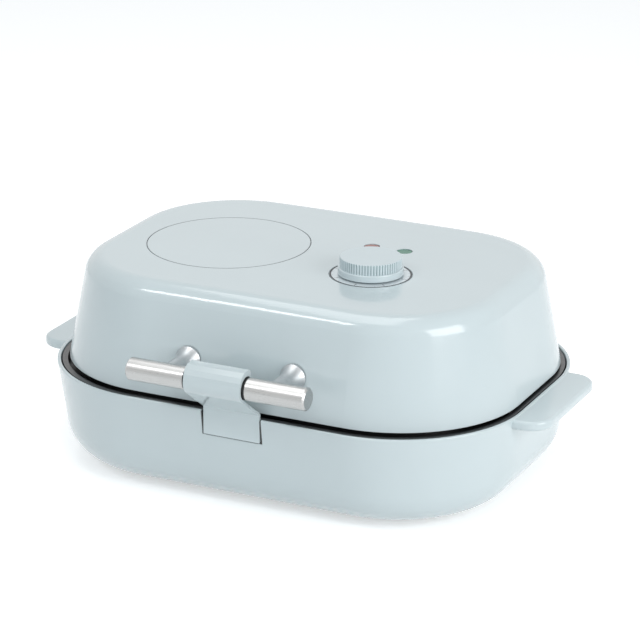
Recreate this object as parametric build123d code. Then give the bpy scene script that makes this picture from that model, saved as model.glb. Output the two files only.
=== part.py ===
from build123d import *
from math import asin, cos, degrees, pi, radians, sin, sqrt, tan
import os

# Sweet potato roaster, closed and latched, in millimetres.
# +X points to the right seen from the front, +Y to the hinge side, +Z up from the table.

# Tub
rim_half_x = 160.0
rim_half_y = 118.0
rim_corner = 86.0
rim_z = 67.5
tub_bottom_z = 4.0
tub_draft = 8.0
tub_bottom_fillet = 26.5
tub_wall = 2.4
rim_edge_fillet = 0.8

# Ears at both ends of the tub
ear_reach = 19.8
ear_half_y = 47.4
ear_corner = 15.0
ear_drop = 0.5
ear_thickness = 6.3
ear_edge_fillet = 2.0

# Lid, drawn in from the tub's rim
lid_inset_x = 6.0
lid_inset_front = 9.0
lid_inset_rear = 5.5
lid_corner_inset = 4.0
lid_edge_gap = 1.2
lid_height = 68.4
lid_draft = 11.2
lid_shoulder_fillet = 13.0
lid_wall = 2.4
crown_rise = 1.0

# Inner frames: the lid's is the tub's mirrored about the parting height
parting_rise = 0.5
rim_groove = 1.0
frame_fit = 0.3
frame_ring_width = 3.5
lid_ring_width = 1.5
frame_ring_drop = 0.6
lid_ring_drop = 0.2
frame_floor_depth = 7.0
frame_floor_thickness = 2.0
frame_skirt_wall = 2.0
frame_skirt_depth = 16.0
ledge_reach = 5.0
ledge_thickness = 2.5
kerb_rise = 2.0

# Plates with two potato hollows each, drawn in from the lid's edge
plate_inset_x = 19.0
plate_inset_y = 14.25
plate_corner_inset = 14.0
plate_gap = 0.4
plate_flange = 3.2
plate_wall = 2.6
plate_side_gap = 0.5
plate_edge_fillet = 0.8
hollow_end_land = 19.0
hollow_side_land = 14.5
hollow_middle_land = 16.0
hollow_depth = 26.0
hollow_draft = 16.0
hollow_bottom_fillet = 12.0
rib_count = 11
rib_pitch = 14.0
rib_width = 2.4
rib_height = 1.2
rib_half_length = 15.0

# Heating elements behind the plates
element_radius = 3.25
element_gap = 1.3
element_bend_inset = 20.0
element_end_inset = 23.0
bead_radius = 5.0
bead_length = 22.0
bead_gap = 0.05
bead_hole_gap = 0.2
pin_radius = 1.5
pin_reach = 3.0
strap_width = 8.0
strap_thickness = 1.0
strap_foot_reach = 12.0
strap_from_bend = 11.0
strap_from_end = 52.0
strap_gap = 0.05

# Reflectors behind the elements
reflector_drop = 4.0
reflector_wall = 0.8
reflector_inset = 9.0
reflector_fillet = 6.0

# Plate catches in the frames' channel, on the left
catch_half_y = 9.0
catch_neck_half_y = 6.0
catch_travel = 4.0
catch_play = 0.5
catch_hold = 3.5
catch_length = 7.0
catch_nose_height = 1.4
catch_gap = 0.15
catch_spring_radius = 1.9
catch_spring_wire = 0.35
catch_spring_turns = 5
catch_pocket_gap = 0.2
catch_pocket_depth = 4.6

# Bar handle, its turned-down middle and the sleeve on it
bar_reach = 16.0
bar_rise = 26.0
bar_radius = 7.25
bar_half_length = 61.0
bar_chamfer = 1.0
bar_core_radius = 6.0
sleeve_radius = 7.0
sleeve_reach = 1.8
sleeve_gap = 0.05
post_x = 36.2
post_radius = 5.5
post_flare_radius = 8.6
post_flare_length = 12.0
post_edge = 1.0
post_lid_gap = 0.4
post_hole_end = 2.0
post_screw_end = 4.0

# Latch clip on the middle of the bar
latch_half_width = 19.4
latch_thickness = 1.5
latch_bore_gap = 0.4
latch_swing_radius = 45.4
latch_gap = 0.5
tab_inset = 1.1
bend_rise = 2.3
crest_corner = 4.0
crest_facets = ((-8.15, 5.6), (-6.2, 8.6), (-2.8, 10.8), (3.2, 11.2), (6.2, 9.6), (8.55, 5.6))
latch_mouth = (-112.0, -60.0, -12.0)
notch_back_gap = 0.6
notch_wall = 2.0
notch_lining = 0.8
lining_gap = 0.1
lining_sink = 0.2

# Dial, scale and badge on top of the lid
dial_x = 49.2
dial_y = -19.7
scale_radius = 26.1
scale_thickness = 1.4
scale_gap = 0.5
knob_radius = 19.7
knob_skirt_reach = 1.1
knob_skirt_height = 4.2
knob_skirt_fillet = 0.8
knob_height = 10.8
knob_top_fillet = 0.5
knob_lift = 1.0
knob_grooves = 66
knob_groove_depth = 0.5
knob_bore_depth = 8.0
spindle_radius = 3.0
spindle_gap = 0.05
badge_inset_x = 93.6
badge_y = -1.7
badge_radius = 53.4
badge_thickness = 1.2
badge_gap = 0.25
lens_radius = 4.9
lens_sink = 0.4
lens_gap = 0.35
lens_flange_reach = 1.5
lens_flange = 1.2
lamp_red_x = 26.6
lamp_green_x = 49.7
lamp_y = 31.3

# Thermostat and lamp board under the lid's roof
thermostat_x = 30.0
thermostat_y = 24.0
thermostat_z = 12.0
bracket_thickness = 1.2
bracket_drop = 5.0
bracket_foot = 9.0
board_margin = 14.45
board_half_y = 8.0
board_thickness = 1.6
board_drop = 12.0
board_pin_inset = 3.5
board_pillar_radius = 2.5
neon_radius = 2.6
neon_length = 7.5
fuse_radius = 2.0
fuse_half_length = 8.0
fuse_x = -30.0

# Leads inside the tub and the lid
lead_radius = 1.1
lead_bend = 5.0
lead_exit = 9.0
lead_fall_y = 14.0
lead_run = 43.0
lead_spacing = 3.0
lid_lead_bend = 1.6
lid_lead_exit = 3.0
lid_lead_fall = (-2.0, -8.0, -4.0)
lid_lead_run = 20.0
lid_lead_y = 4.0

# Hinges
hinge_end_gap = 10.0
hinge_reach = 6.5
hinge_rise = 5.0
knuckle_radius = 5.5
knuckle_width = 18.0
hinge_ear_width = 5.0
knuckle_gap = 0.4
hinge_pin_radius = 2.0
hinge_pin_gap = 0.05
base_leaf_drop = 26.0
base_leaf_screw_drop = 18.0
lid_leaf_rise = 25.0
lid_leaf_screw_rise = 18.0
leaf_thickness = 3.4
leaf_screw_x = 6.0

# Screws, feet and cord inlet
pillar_radius = 4.6
pillar_past_bend = 10.0
pillar_inset_y = 12.6
pillar_end_inset = 13.4
pillar_end_y = 22.0
lid_pillar_radius = 3.0
lid_pillar_past_bend = 12.0
lid_pillar_inset_y = 9.75
lid_pillar_end_inset = 8.8
lid_pillar_end_y = 22.0
lid_pillar_length = 26.0
screw_radius = 1.5
screw_gap = 0.1
screw_head_radius = 2.8
screw_head_height = 2.0
screw_grip = 5.0
screw_seat_gap = 0.1
foot_inset_x = 70.0
foot_inset_y = 62.0
foot_radius = 8.0
foot_stem_radius = 3.0
foot_bulb = 1.2
foot_sink = 1.0
foot_gap = 0.25
gland_z = 30.0
gland_bore = 3.4
gland_radius = 6.5
gland_flange_radius = 9.0
gland_flange = 2.0
gland_inside = 8.0
gland_outside = 5.0
terminal_x = 40.0
terminal_inset_y = 40.0
terminal_size_x = 34.0
terminal_size_y = 14.0
terminal_size_z = 12.0
terminal_ways = 3
terminal_hole_radius = 2.3
terminal_hole_depth = 4.0

# How far a cut runs past the face that it opens
cut_over = 1.0

# Heights
parting_z = rim_z + parting_rise
lid_edge_z = rim_z + lid_edge_gap
lid_top_z = lid_edge_z + lid_height
roof_z = lid_top_z - lid_wall
frame_floor_z = parting_z - frame_floor_depth
frame_skirt_z = parting_z - frame_skirt_depth
plate_top_z = parting_z - plate_gap / 2
ledge_z = plate_top_z - plate_flange
element_z = plate_top_z - hollow_depth - plate_wall - element_gap - element_radius
reflector_z = element_z - element_radius - reflector_drop
reflector_floor_z = reflector_z + reflector_wall
tub_floor_z = tub_bottom_z + tub_wall
ear_low_z = rim_z - ear_drop - ear_thickness
bend_z = parting_z + bend_rise
bar_z = parting_z + bar_rise
hinge_axis_z = parting_z + hinge_rise
base_leaf_bottom_z = parting_z - base_leaf_drop
base_leaf_screw_z = parting_z - base_leaf_screw_drop
lid_leaf_top_z = parting_z + lid_leaf_rise
lid_leaf_screw_z = parting_z + lid_leaf_screw_rise

# Outlines
lid_half_x = rim_half_x - lid_inset_x
lid_half_y = rim_half_y - (lid_inset_front + lid_inset_rear) / 2
lid_centre_y = (lid_inset_front - lid_inset_rear) / 2
lid_corner = rim_corner - lid_corner_inset
crown_radius = lid_half_x**2 / (2 * crown_rise)
frame_inset = tub_wall + rim_groove
kerb_reach = plate_side_gap + frame_skirt_wall
plate_half_x = lid_half_x - plate_inset_x
plate_half_y = lid_half_y - plate_inset_y
plate_corner = lid_corner - plate_corner_inset
hollow_half_x = plate_half_x - hollow_end_land
hollow_half_y = (plate_half_y - hollow_side_land - hollow_middle_land / 2) / 2
hollow_offset_y = hollow_middle_land / 2 + hollow_half_y
element_bend_x = element_bend_inset - hollow_half_x
element_end_x = plate_half_x - element_end_inset
knob_skirt_radius = knob_radius + knob_skirt_reach
lens_flange_radius = lens_radius + lens_flange_reach

# Places
bar_y = -rim_half_y - bar_reach
tab_face_y = tab_inset - rim_half_y
sleeve_half_length = latch_half_width + sleeve_reach
badge_x = badge_inset_x - lid_half_x
board_half_x = (lamp_green_x - lamp_red_x) / 2 + board_margin
hinge_x = lid_half_x - lid_corner - hinge_end_gap
hinge_axis_y = rim_half_y + hinge_reach
pillar_x = rim_half_x - rim_corner + pillar_past_bend
pillar_y = rim_half_y - pillar_inset_y
pillar_end_x = rim_half_x - pillar_end_inset
lid_pillar_x = lid_half_x - lid_corner + lid_pillar_past_bend
lid_pillar_y = lid_half_y - lid_pillar_inset_y
lid_pillar_end_x = lid_half_x - lid_pillar_end_inset
foot_x = rim_half_x - foot_inset_x
foot_y = rim_half_y - foot_inset_y
terminal_y = rim_half_y - terminal_inset_y

# The origin lies under the middle of the whole depth, from the latch's wrap to the hinges.
front_most = bar_y - bar_radius - latch_bore_gap - latch_thickness
rear_most = hinge_axis_y + knuckle_radius
middle_y = (front_most + rear_most) / 2
os.makedirs("parts", exist_ok=True)


def save(name, solids):
    """Writes one node, as one solid or as a group of separate solids."""
    solids = solids if isinstance(solids, list) else [solids]
    moved = [Pos(0, -middle_y, 0) * solid for solid in solids]
    export_step(moved[0] if len(moved) == 1 else Compound(children=moved), f"parts/{name}.step")


def slab(sizes, low, high, centre_y=0.0):
    """A rounded rectangle, given as half length, half width and corner, between two heights."""
    half_x, half_y, corner = sizes
    return extrude(Pos(0, centre_y, low) * RectangleRounded(2 * half_x, 2 * half_y, corner), high - low)


def rod_x(radius, x_range, y, z):
    middle = (x_range[0] + x_range[1]) / 2
    return Pos(middle, y, z) * Rot(0, 90, 0) * Cylinder(radius, x_range[1] - x_range[0])


def rod_y(radius, y_range, x, z):
    middle = (y_range[0] + y_range[1]) / 2
    return Pos(x, middle, z) * Rot(90, 0, 0) * Cylinder(radius, y_range[1] - y_range[0])


def rod_z(radius, z_range, x, y):
    middle = (z_range[0] + z_range[1]) / 2
    return Pos(x, y, middle) * Cylinder(radius, z_range[1] - z_range[0])


def block(x_range, y_range, z_range):
    spans = (x_range, y_range, z_range)
    middle = [(low + high) / 2 for low, high in spans]
    return Pos(*middle) * Box(*[high - low for low, high in spans])


def around(middle, half):
    return (middle - half, middle + half)


def between(one, other):
    return (min(one, other), max(one, other))


def round_bar(path, radius):
    """A round bar, wire or lead along a path."""
    return sweep(Plane(origin=path @ 0, z_dir=path % 0) * Circle(radius), path=path)


def upper(solids):
    """The same pieces in the lid, mirrored about the parting height."""
    plane = Plane.XY.offset(parting_z)
    if isinstance(solids, list):
        return [mirror(solid, about=plane) for solid in solids]
    return mirror(solids, about=plane)


def upper_z(z):
    return 2 * parting_z - z


def bottom_edges(solid):
    return solid.faces().sort_by(Axis.Z)[0].edges()


def top_edges(solid):
    return solid.edges().group_by(Axis.Z)[-1]


# Tub
def tub_body(inset, bottom):
    """The tub's outer form, drawn in by an inset and ending at a bottom height."""
    outline = RectangleRounded(2 * (rim_half_x - inset), 2 * (rim_half_y - inset), rim_corner - inset)
    body = extrude(Pos(0, 0, rim_z) * outline, rim_z - bottom, dir=(0, 0, -1), taper=tub_draft)
    return fillet(bottom_edges(body), tub_bottom_fillet - inset)


def tub_wall_y(z):
    """How far the tub's front and rear walls stand from its middle at a height."""
    return rim_half_y - (rim_z - z) * tan(radians(tub_draft))


def ear(side):
    reach = rim_half_x + ear_reach
    outline = Pos(side * reach / 2, 0, ear_low_z) * RectangleRounded(reach, 2 * ear_half_y, ear_corner)
    plate = extrude(outline, ear_thickness)
    flat_edges = plate.edges().filter_by(Plane.XY)
    return fillet([edge for edge in flat_edges if abs(edge.center().X) > reach / 3], ear_edge_fillet)


def pillar_places():
    offsets = [(pillar_x, pillar_y), (pillar_end_x, pillar_end_y)]
    return [(side * x, end * y) for x, y in offsets for side in (-1, 1) for end in (-1, 1)]


def foot_places():
    return [(side * foot_x, end * foot_y) for side in (-1, 1) for end in (-1, 1)]


def leaf_screw_xs():
    return [side * hinge_x + end * leaf_screw_x for side in (-1, 1) for end in (-1, 1)]


def notch_room(grow):
    """The latch's notch: its floor follows the arc of the tab's swing about the bar."""
    half = latch_half_width + latch_gap + grow
    back = tab_face_y + latch_thickness + notch_back_gap + grow
    box = block((-half, half), (2 * bar_y, back), (rim_z - latch_swing_radius, rim_z + bar_radius))
    return box & rod_x(latch_swing_radius + latch_gap + grow, (-half, half), bar_y, bar_z)


def base_shell():
    outer = tub_body(0, tub_bottom_z)
    shell = outer + ear(-1) + ear(1) - tub_body(tub_wall, tub_floor_z)
    for x, y in pillar_places():
        shell += rod_z(pillar_radius, (tub_bottom_z, frame_skirt_z), x, y) & outer
    shell -= notch_room(notch_lining + lining_gap)
    for x, y in pillar_places():
        hole = (frame_skirt_z - screw_grip - cut_over, frame_skirt_z)
        shell -= rod_z(screw_radius + screw_gap, hole, x, y)
    for x, y in foot_places():
        shell -= rod_z(foot_stem_radius, (0, tub_floor_z + tub_wall), x, y)
        shell -= rod_z(foot_radius + foot_gap, (0, tub_bottom_z + foot_sink), x, y)
    through_rear = (rim_half_y / 2, 2 * rim_half_y)
    shell -= rod_y(gland_radius + screw_gap, through_rear, 0, gland_z)
    for x in leaf_screw_xs():
        shell -= rod_y(screw_radius + screw_gap, through_rear, x, base_leaf_screw_z)
    rim = [edge for edge in top_edges(shell) if edge.length > 2 * tub_wall]
    return fillet(rim, rim_edge_fillet)


def rubber_feet():
    feet = []
    for x, y in foot_places():
        pad = rod_z(foot_radius, (0, tub_bottom_z + foot_sink), x, y)
        pad = chamfer(bottom_edges(pad), foot_sink)
        stem = rod_z(foot_stem_radius, (tub_bottom_z, tub_floor_z + foot_bulb), x, y)
        bulb = rod_z(foot_stem_radius + foot_bulb, (tub_floor_z, tub_floor_z + 2 * foot_bulb), x, y)
        feet.append(pad + stem + bulb)
    return feet


def cord_gland():
    """A flanged bush through the rear wall, with the cord's bore along Y."""
    wall = tub_wall_y(gland_z)
    tube = rod_y(gland_radius, (wall - gland_inside, wall + gland_outside), 0, gland_z)
    flange = rod_y(gland_flange_radius, (wall + gland_flange, wall + 2 * gland_flange), 0, gland_z)
    return tube + flange - rod_y(gland_bore, (0, 2 * rim_half_y), 0, gland_z)


def driven_screw(x, y, seat_z, grip):
    """A pan head screw driven upward: its head lies under the seat."""
    head = rod_z(screw_head_radius, (seat_z - screw_head_height, seat_z), x, y)
    return head + rod_z(screw_radius, (seat_z, seat_z + grip), x, y)


def frame_screws(places):
    """Screws through a frame's channel floor into its shell's pillars, as the lid has them."""
    seat = upper_z(frame_floor_z)
    grip = frame_floor_z - frame_skirt_z + screw_grip
    return [driven_screw(x, y, seat, grip) for x, y in places]


# Inner frame and plate: both halves
def plate_outline(grow):
    return (plate_half_x + grow, plate_half_y + grow, plate_corner + grow)


def frame_body(outer, ring_width, ring_top, centre_y):
    """Ring, channel floor, kerb and skirt of one half, before its outer fit is cut."""
    floor_low = frame_floor_z - frame_floor_thickness
    body = slab(outer, floor_low, ring_top, centre_y)
    channel = [size - ring_width for size in outer]
    body -= slab(channel, frame_floor_z, ring_top, centre_y)
    body += slab(plate_outline(kerb_reach), frame_skirt_z, ledge_z + kerb_rise, lid_centre_y)
    body -= slab(plate_outline(plate_side_gap), ledge_z, ring_top + kerb_rise, lid_centre_y)
    body -= slab(plate_outline(-ledge_reach), frame_skirt_z, ledge_z, lid_centre_y)
    below = slab(plate_outline(plate_side_gap), frame_skirt_z, ledge_z - ledge_thickness, lid_centre_y)
    return body - below


def add_bosses(frame, places, radius):
    """Screw bosses below the channel floor, each with its hole from the channel."""
    for x, y in places:
        frame += rod_z(radius, (frame_skirt_z, frame_floor_z - frame_floor_thickness), x, y)
    for x, y in places:
        frame -= rod_z(screw_radius + screw_gap, (frame_skirt_z, parting_z), x, y)
    return frame


def catch_places():
    """Where the catch's body ends toward the plate, and where its nose ends."""
    body_end = -plate_half_x - kerb_reach - catch_play
    return body_end, catch_hold - plate_half_x


def catch_slot():
    """The way through the kerb for the catch's nose."""
    half = catch_neck_half_y + catch_gap
    low = ledge_z + plate_flange - 2 * catch_nose_height - catch_gap
    return block(catch_places(), around(0, half), (low, parting_z))


def base_frame():
    """The tub's inner frame, with the dark pocket that lines the latch's notch."""
    outer = (rim_half_x - frame_inset, rim_half_y - frame_inset, rim_corner - frame_inset)
    ring_top = rim_z - frame_ring_drop
    frame = frame_body(outer, frame_ring_width, ring_top, 0)
    frame = add_bosses(frame, pillar_places(), pillar_radius - frame_fit)
    below_ring = block((-rim_half_x, rim_half_x), (-rim_half_y, 0), (0, ring_top))
    frame += notch_room(notch_wall) & below_ring
    frame &= tub_body(tub_wall + frame_fit, tub_floor_z)
    frame += notch_room(notch_lining) & tub_body(lining_sink, tub_floor_z) & below_ring
    return frame - notch_room(0) - catch_slot()


def hollow(grow, y, z, depth):
    """One potato hollow from a height down, or with a wall added its outside."""
    shrink = (plate_top_z - z) * tan(radians(hollow_draft))
    length = 2 * (hollow_half_x + grow - shrink)
    width = 2 * (hollow_half_y + grow - shrink)
    form = extrude(Pos(0, y, z) * SlotOverall(length, width), depth, dir=(0, 0, -1), taper=hollow_draft)
    return fillet(bottom_edges(form), hollow_bottom_fillet + grow)


def hollow_middles():
    return [lid_centre_y + side * hollow_offset_y for side in (-1, 1)]


def plate():
    """A plate with two potato hollows, its corner notched for the catch's nose."""
    body = slab(plate_outline(0), ledge_z, plate_top_z, lid_centre_y)
    body = fillet(top_edges(body), plate_edge_fillet)
    for y in hollow_middles():
        body += hollow(plate_wall, y, ledge_z, hollow_depth + plate_wall - plate_flange)
    for y in hollow_middles():
        body -= hollow(0, y, plate_top_z, hollow_depth)
    floor = plate_top_z - hollow_depth
    for y in hollow_middles():
        for i in range(rib_count):
            x = (i - (rib_count - 1) / 2) * rib_pitch
            heights = (floor - plate_wall / 2, floor + rib_height)
            body += block(around(x, rib_width / 2), around(y, rib_half_length), heights)
    nose_end = catch_places()[1] + catch_play
    notch = (plate_top_z - catch_nose_height - 2 * catch_gap, parting_z)
    return body - block((-rim_half_x, nose_end), around(0, catch_half_y), notch)


def element():
    """The sheathed element, bent to a U with a leg behind each hollow, and its end pins."""
    front, rear = hollow_middles()
    bend_start = element_bend_x + hollow_offset_y
    first = Line((element_end_x, front, element_z), (bend_start, front, element_z))
    bend = ThreePointArc(first @ 1, (element_bend_x, lid_centre_y, element_z), (bend_start, rear, element_z))
    last = Line((bend_start, rear, element_z), (element_end_x, rear, element_z))
    tube = round_bar(Wire([first, bend, last]), element_radius)
    pin = (element_end_x - cut_over, element_end_x + bead_length + pin_reach)
    for y in hollow_middles():
        tube += rod_x(pin_radius, pin, y, element_z)
    return tube


def element_beads():
    beads = []
    span = (element_end_x, element_end_x + bead_length)
    for y in hollow_middles():
        bead = rod_x(bead_radius, span, y, element_z)
        beads.append(bead - rod_x(pin_radius + bead_gap, span, y, element_z))
    return beads


def saddle(x, y, seat_z, axis_z, radius):
    """A folded strap over a round piece along X, with two feet on the seat."""
    span = around(x, strap_width / 2)
    inner = radius + strap_gap
    outer = inner + strap_thickness
    strap = rod_x(outer, span, y, axis_z) + block(span, around(y, outer), (seat_z, axis_z))
    strap &= block(span, around(y, outer), (seat_z, axis_z + outer))
    strap -= rod_x(inner, span, y, axis_z)
    strap -= block(span, around(y, inner), (seat_z, axis_z))
    for side in (-1, 1):
        ends = between(y + side * inner, y + side * strap_foot_reach)
        strap += block(span, ends, (seat_z, seat_z + strap_thickness))
    return strap


def element_straps():
    """Straps that hold the element's legs down to the reflector."""
    places_x = (element_bend_x + hollow_offset_y + strap_from_bend, element_end_x - strap_from_end)
    places = [(x, y) for x in places_x for y in hollow_middles()]
    return [saddle(x, y, reflector_floor_z, element_z, element_radius) for x, y in places]


def reflector():
    """A pressed tray behind the element; its lip lies against the frame's skirt."""
    outer = plate_outline(-reflector_inset)
    body = slab(outer, reflector_z, frame_skirt_z, lid_centre_y)
    body = fillet(bottom_edges(body), reflector_fillet)
    body += slab(plate_outline(kerb_reach), frame_skirt_z - reflector_wall, frame_skirt_z, lid_centre_y)
    room = slab([size - reflector_wall for size in outer], reflector_floor_z, frame_skirt_z, lid_centre_y)
    tray = body - fillet(bottom_edges(room), reflector_fillet - reflector_wall)
    for y in hollow_middles():
        tray -= rod_x(bead_radius + bead_hole_gap, (element_end_x, rim_half_x), y, element_z)
    return tray


def plate_catch():
    """A slide in the frame's channel whose nose holds the plate's notched edge."""
    body_end, nose_end = catch_places()
    top = plate_top_z - catch_gap
    start = body_end - catch_length
    nose_low = top - catch_nose_height
    body = block((start, body_end), around(0, catch_half_y), (frame_floor_z + catch_gap, nose_low))
    nose = block((start, nose_end), around(0, catch_neck_half_y), (nose_low, top))
    neck_low = nose_low - catch_nose_height + catch_gap
    neck = block((body_end, -plate_half_x - plate_side_gap), around(0, catch_neck_half_y), (neck_low, top))
    pocket = rod_x(catch_spring_radius + catch_pocket_gap, (start, start + catch_pocket_depth), 0, spring_z())
    return body + nose + neck - pocket


def spring_z():
    return (frame_floor_z + plate_top_z - catch_nose_height) / 2


def arc_by_tangents(start, corner, end):
    """The arc from start to end whose end tangents meet at the corner."""
    weight = (end - start).length / (2 * (corner - start).length)
    middle = (start + end + corner * (2 * weight)) * (1 / (2 + 2 * weight))
    return ThreePointArc(start, middle, end)


def two_arcs(start, end, start_way, end_way):
    """Two arcs that leave and arrive in given directions and meet smoothly."""
    chord = end - start
    along = chord.dot(start_way + end_way)
    bend = 1 - start_way.dot(end_way)
    reach = (sqrt(along**2 + 2 * bend * chord.dot(chord)) - along) / (2 * bend)
    first = start + start_way * reach
    second = end - end_way * reach
    meeting = (first + second) * 0.5
    return [arc_by_tangents(start, first, meeting), arc_by_tangents(meeting, second, end)]


def coil_path(radius, length, turns):
    """A coil along Z, as two smooth arcs for each quarter turn."""
    climb = length / (2 * pi * turns)
    edges = []
    for i in range(4 * turns):
        angles = (i * pi / 2, (i + 1) * pi / 2)
        points = [Vector(radius * cos(a), radius * sin(a), climb * a) for a in angles]
        ways = [Vector(-radius * sin(a), radius * cos(a), climb).normalized() for a in angles]
        edges += two_arcs(*points, *ways)
    return Wire(edges)


def catch_spring(ring_half_x):
    """The catch's coil spring, from the ring's inner wall to the floor of its pocket."""
    start = catch_places()[0] - catch_length
    left = catch_gap - ring_half_x
    length = start + catch_pocket_depth - left - catch_gap - 2 * catch_spring_wire
    path = coil_path(catch_spring_radius - catch_spring_wire, length, catch_spring_turns)
    wire = round_bar(path, catch_spring_wire)
    return Pos(left + catch_spring_wire, 0, spring_z()) * Rot(0, 90, 0) * wire


def terminal_block():
    """A ceramic block on the tub's floor with a row of screw wells."""
    top = tub_floor_z + terminal_size_z
    x_span = around(terminal_x, terminal_size_x / 2)
    body = block(x_span, around(terminal_y, terminal_size_y / 2), (tub_floor_z, top))
    pitch = terminal_size_x / terminal_ways
    for i in range(terminal_ways):
        x = x_span[0] + (i + 0.5) * pitch
        body -= rod_z(terminal_hole_radius, (top - terminal_hole_depth, top), x, terminal_y)
    return body


def base_lead(pin_y, block_y):
    """A lead from an element pin, round the reflector's end, down to the terminal block."""
    pin_end = element_end_x + bead_length + pin_reach
    block_end = terminal_x + terminal_size_x / 2
    height = tub_bottom_z + terminal_size_z
    points = [
        (pin_end, pin_y, element_z),
        (pin_end + lead_exit, pin_y, element_z),
        (pin_end + lead_radius, pin_y + lead_fall_y, height),
        (block_end + lead_run, block_y, height),
        (block_end, block_y, height),
    ]
    return round_bar(FilletPolyline(*points, radius=lead_bend), lead_radius)


# Lid
def lid_body(inset, low):
    """The lid's outer form, drawn in by an inset, from a height up to the crown."""
    grow = (lid_edge_z - low) * tan(radians(lid_draft)) - inset
    outline = RectangleRounded(2 * (lid_half_x + grow), 2 * (lid_half_y + grow), lid_corner + grow)
    body = extrude(Pos(0, lid_centre_y, low) * outline, lid_top_z + crown_rise - low, taper=lid_draft)
    body &= crown(inset)
    top = body.faces().sort_by(Axis.Z)[-1]
    return fillet(top.edges(), lid_shoulder_fillet - inset)


def crown(inset):
    """The large ball whose top is the lid's slightly domed roof, its poles turned to the sides."""
    return Pos(0, lid_centre_y, lid_top_z - crown_radius) * Rot(90, 0, 0) * Sphere(crown_radius - inset)


def lid_wall_y(z):
    """How far the lid's front and rear walls stand from its middle at a height."""
    return lid_half_y - (z - lid_edge_z) * tan(radians(lid_draft))


def lid_pillar_places():
    offsets = [(lid_pillar_x, lid_pillar_y), (lid_pillar_end_x, lid_pillar_end_y)]
    return [(side * x, lid_centre_y + end * y) for x, y in offsets for side in (-1, 1) for end in (-1, 1)]


def board_middle_x():
    return (lamp_red_x + lamp_green_x) / 2


def board_pins():
    reach = board_half_x - board_pin_inset
    return [(board_middle_x() + side * reach, lamp_y) for side in (-1, 1)]


def disc(radius, thickness, x, y):
    """A disc whose top follows the lid's dome, or the recess that it lies in."""
    heights = (lid_top_z - thickness - crown_rise, lid_top_z + crown_rise)
    return rod_z(radius, heights, x, y) & (crown(0) - crown(thickness))


def lid_shell():
    """The dome, with screw pillars, lamp board pillars, recesses for the discs and holes."""
    outer = lid_body(0, lid_edge_z)
    shell = outer - lid_body(lid_wall, lid_edge_z - cut_over)
    low = upper_z(frame_skirt_z)
    for x, y in lid_pillar_places():
        shell += rod_z(lid_pillar_radius, (low, low + lid_pillar_length), x, y) & outer
    pin_low = roof_z - board_drop - board_thickness - cut_over
    for x, y in board_pins():
        shell += rod_z(board_pillar_radius, (roof_z - board_drop, roof_z + lid_wall / 2), x, y)
        shell += rod_z(screw_radius, (pin_low, roof_z), x, y)
    for x, y in lid_pillar_places():
        shell -= rod_z(screw_radius + screw_gap, (low, low + screw_grip + cut_over), x, y)
    shell -= disc(badge_radius + badge_gap, badge_thickness, badge_x, badge_y)
    shell -= disc(scale_radius + scale_gap, scale_thickness, dial_x, dial_y)
    through_roof = (roof_z - lid_wall, lid_top_z)
    shell -= rod_z(2 * spindle_radius, through_roof, dial_x, dial_y)
    for x in (lamp_red_x, lamp_green_x):
        shell -= rod_z(lens_radius + lens_gap, through_roof, x, lamp_y)
    for side in (-1, 1):
        shell -= rod_y(screw_radius + screw_gap, (bar_y, bar_y / 2), side * post_x, bar_z)
    for x in leaf_screw_xs():
        shell -= rod_y(screw_radius + screw_gap, (rim_half_y / 2, rim_half_y), x, lid_leaf_screw_z)
    return shell


def lid_frame():
    """The inner frame of the lid, made as the tub's and then mirrored up."""
    fit = lid_wall + frame_fit
    outer = (lid_half_x - fit, lid_half_y - fit, lid_corner - fit)
    frame = frame_body(outer, lid_ring_width, upper_z(lid_edge_z) - lid_ring_drop, lid_centre_y)
    frame = add_bosses(frame, lid_pillar_places(), lid_pillar_radius)
    frame = upper(frame - catch_slot())
    return frame & lid_body(fit, lid_edge_z)


def grip_grooves(low, high):
    """The upright grooves round the knob's grip, each cut by a square bar turned on its edge."""
    side = knob_groove_depth * sqrt(2)
    bar = Pos(knob_radius, 0, (low + high) / 2) * Rot(0, 0, 45) * Box(side, side, high - low)
    return [Pos(dial_x, dial_y, 0) * Rot(0, 0, i * 360 / knob_grooves) * bar for i in range(knob_grooves)]


def dial_knob():
    """A grooved knob with a smooth skirt, a flat top and a blind bore for the spindle."""
    low = lid_top_z + knob_lift
    high = low + knob_height
    skirt_top = low + knob_skirt_height
    skirt = rod_z(knob_skirt_radius, (low, skirt_top), dial_x, dial_y)
    skirt = fillet(top_edges(skirt), knob_skirt_fillet)
    grip = rod_z(knob_radius, (skirt_top, high), dial_x, dial_y)
    grip = fillet(top_edges(grip), knob_top_fillet)
    grip = grip.cut(*grip_grooves(skirt_top, high + cut_over))
    return skirt + grip - rod_z(spindle_radius, (low, low + knob_bore_depth), dial_x, dial_y)


def thermostat_top():
    return roof_z - bracket_drop - bracket_thickness


def dial_spindle():
    top = lid_top_z + knob_lift + knob_bore_depth
    return rod_z(spindle_radius, (thermostat_top() - thermostat_z / 2, top), dial_x, dial_y)


def thermostat():
    top = thermostat_top()
    y_span = around(dial_y, thermostat_y / 2)
    body = block(around(dial_x, thermostat_x / 2), y_span, (top - thermostat_z, top))
    return body - rod_z(spindle_radius + spindle_gap, (top - thermostat_z / 2, top), dial_x, dial_y)


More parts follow.
